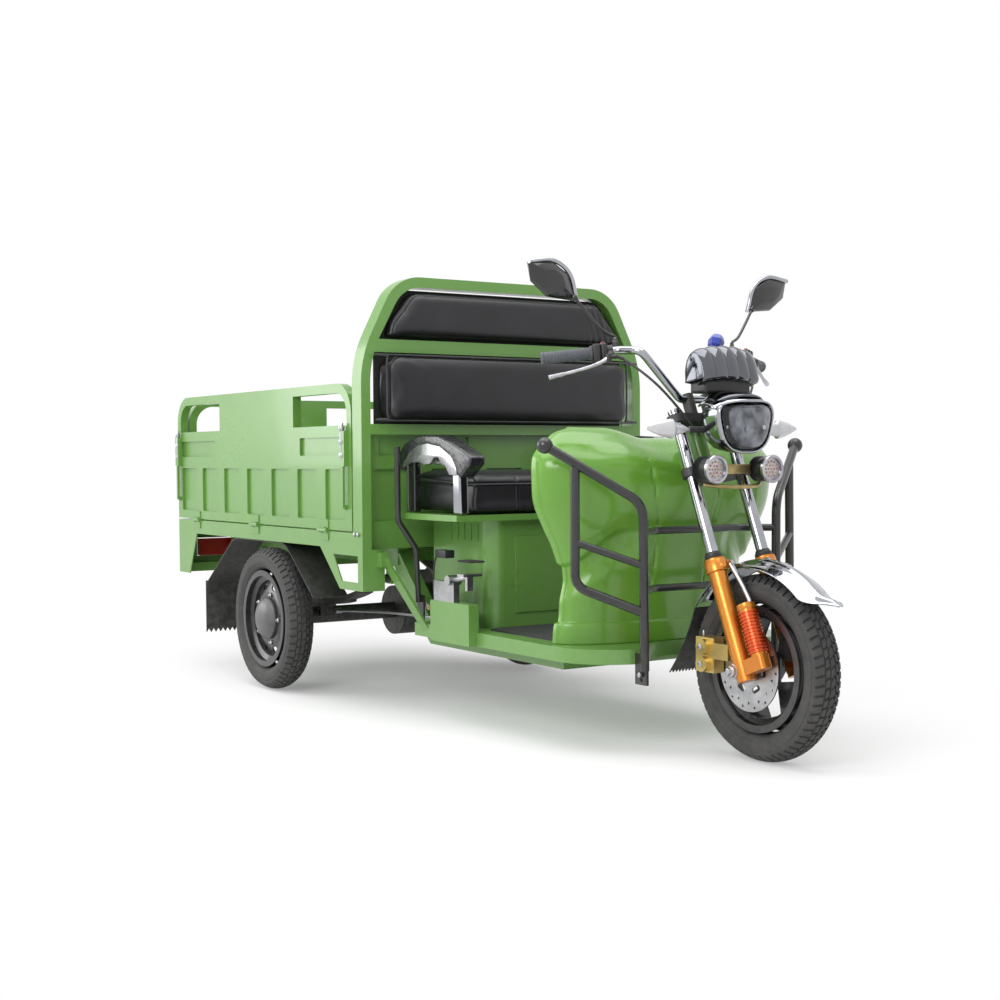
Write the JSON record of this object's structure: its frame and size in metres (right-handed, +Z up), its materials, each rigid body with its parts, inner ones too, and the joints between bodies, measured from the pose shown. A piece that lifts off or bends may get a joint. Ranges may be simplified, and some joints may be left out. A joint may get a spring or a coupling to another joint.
{
  "type": "electric cargo tricycle",
  "caption": "Electric cargo tricycle with a steered front wheel, a bench seat under a padded hoop, and a steel load bed with drop gates behind.",
  "frame": {"origin": "on the ground under the middle of the vehicle's overall length and width", "axes": "+X forward, +Y to the driver's left, +Z up"},
  "size_m": [3.0153, 1.144, 1.357],
  "materials": {
    "tyre": "matt",
    "rim_black": "satin black",
    "hub_grey": "cast",
    "steel_bright": "brushed",
    "body_green": "gloss",
    "frame_black": "satin",
    "cushion": "grained",
    "plastic_black": "matt",
    "rubber_black": "matt",
    "chrome": "polished",
    "fork_orange": "anodised",
    "caliper_gold": "anodised",
    "lamp_red": "clear",
    "lamp_clear": "clear",
    "signal": "gloss",
    "gloss_black": "gloss",
    "mirror_black": "gloss",
    "grip": "ribbed"
  },
  "bodies": {
    "chassis": {"bed_frame": "body_green", "bed_floor": "body_green", "bed_bulkhead": "body_green", "rear_mudguards": "plastic_black", "rear_flaps": "rubber_black", "seat_hoop": "body_green", "back_cushion_lower": "cushion", "back_cushion_upper": "cushion", "seat_cushion": "cushion", "seat_box": "body_green", "battery_pack": "plastic_black", "armrests": "plastic_black", "floor_pan": "body_green", "floor_mat": "rubber_black", "chassis_frame": "body_green", "rear_axle": "hub_grey", "drive_motor": "frame_black", "leaf_springs": "frame_black", "tail_lamps": "lamp_red", "rear_buffers": "rubber_black", "front_cowl": "body_green", "cowl_inner_panel": "plastic_black", "crash_bars": "frame_black", "brake_pedal": "steel_bright", "parking_brake": "frame_black"},
    "steering": {"handlebar": "chrome", "steering_stem": "frame_black", "fork_uppers": "chrome", "fork_lowers": "fork_orange", "brake_caliper": "caliper_gold", "front_mudguard": "chrome", "front_flap": "rubber_black", "headlamp_shell": "chrome", "headlamp_lens": "lamp_clear", "instrument_visor": "gloss_black", "spot_lamps": "frame_black", "turn_signals": "signal", "grips": "grip", "handlebar_controls": "plastic_black", "mirrors": "mirror_black", "control_cables": "rubber_black"},
    "front_wheel": {"front_tyre": "tyre", "front_rim": "rim_black", "brake_disc": "steel_bright"},
    "rear_wheel_right": {"rear_right_tyre": "tyre", "rear_right_rim": "rim_black"},
    "rear_wheel_left": {"rear_left_tyre": "tyre", "rear_left_rim": "rim_black"},
    "side_gate_right": {"gate_right": "body_green"},
    "side_gate_left": {"gate_left": "body_green"},
    "tail_gate": {"tailgate": "body_green"}
  },
  "joints": [
    {"name": "steer", "type": "hinge", "parent": "chassis", "child": "steering", "pos_m": [1.2122, 0, 0.245], "axis": [-0.3827, 0, 0.9239], "range_deg": [-35, 35]},
    {"name": "front_wheel_spin", "type": "hinge", "parent": "steering", "child": "front_wheel", "pos_m": [1.2395, 0, 0.245], "axis": [0, 1, 0], "continuous": true},
    {"name": "rear_right_spin", "type": "hinge", "parent": "chassis", "child": "rear_wheel_right", "pos_m": [-0.6655, -0.52, 0.245], "axis": [0, 1, 0], "continuous": true},
    {"name": "rear_left_spin", "type": "hinge", "parent": "chassis", "child": "rear_wheel_left", "pos_m": [-0.6655, 0.52, 0.245], "axis": [0, 1, 0], "continuous": true},
    {"name": "right_gate_hinge", "type": "hinge", "parent": "chassis", "child": "side_gate_right", "pos_m": [-0.7655, -0.547, 0.5665], "axis": [1, 0, 0], "range_deg": [0, 155]},
    {"name": "left_gate_hinge", "type": "hinge", "parent": "chassis", "child": "side_gate_left", "pos_m": [-0.7655, 0.547, 0.5665], "axis": [-1, 0, 0], "range_deg": [0, 155]},
    {"name": "tailgate_hinge", "type": "hinge", "parent": "chassis", "child": "tail_gate", "pos_m": [-1.4925, 0, 0.5665], "axis": [0, -1, 0], "range_deg": [0, 160]}
  ]
}
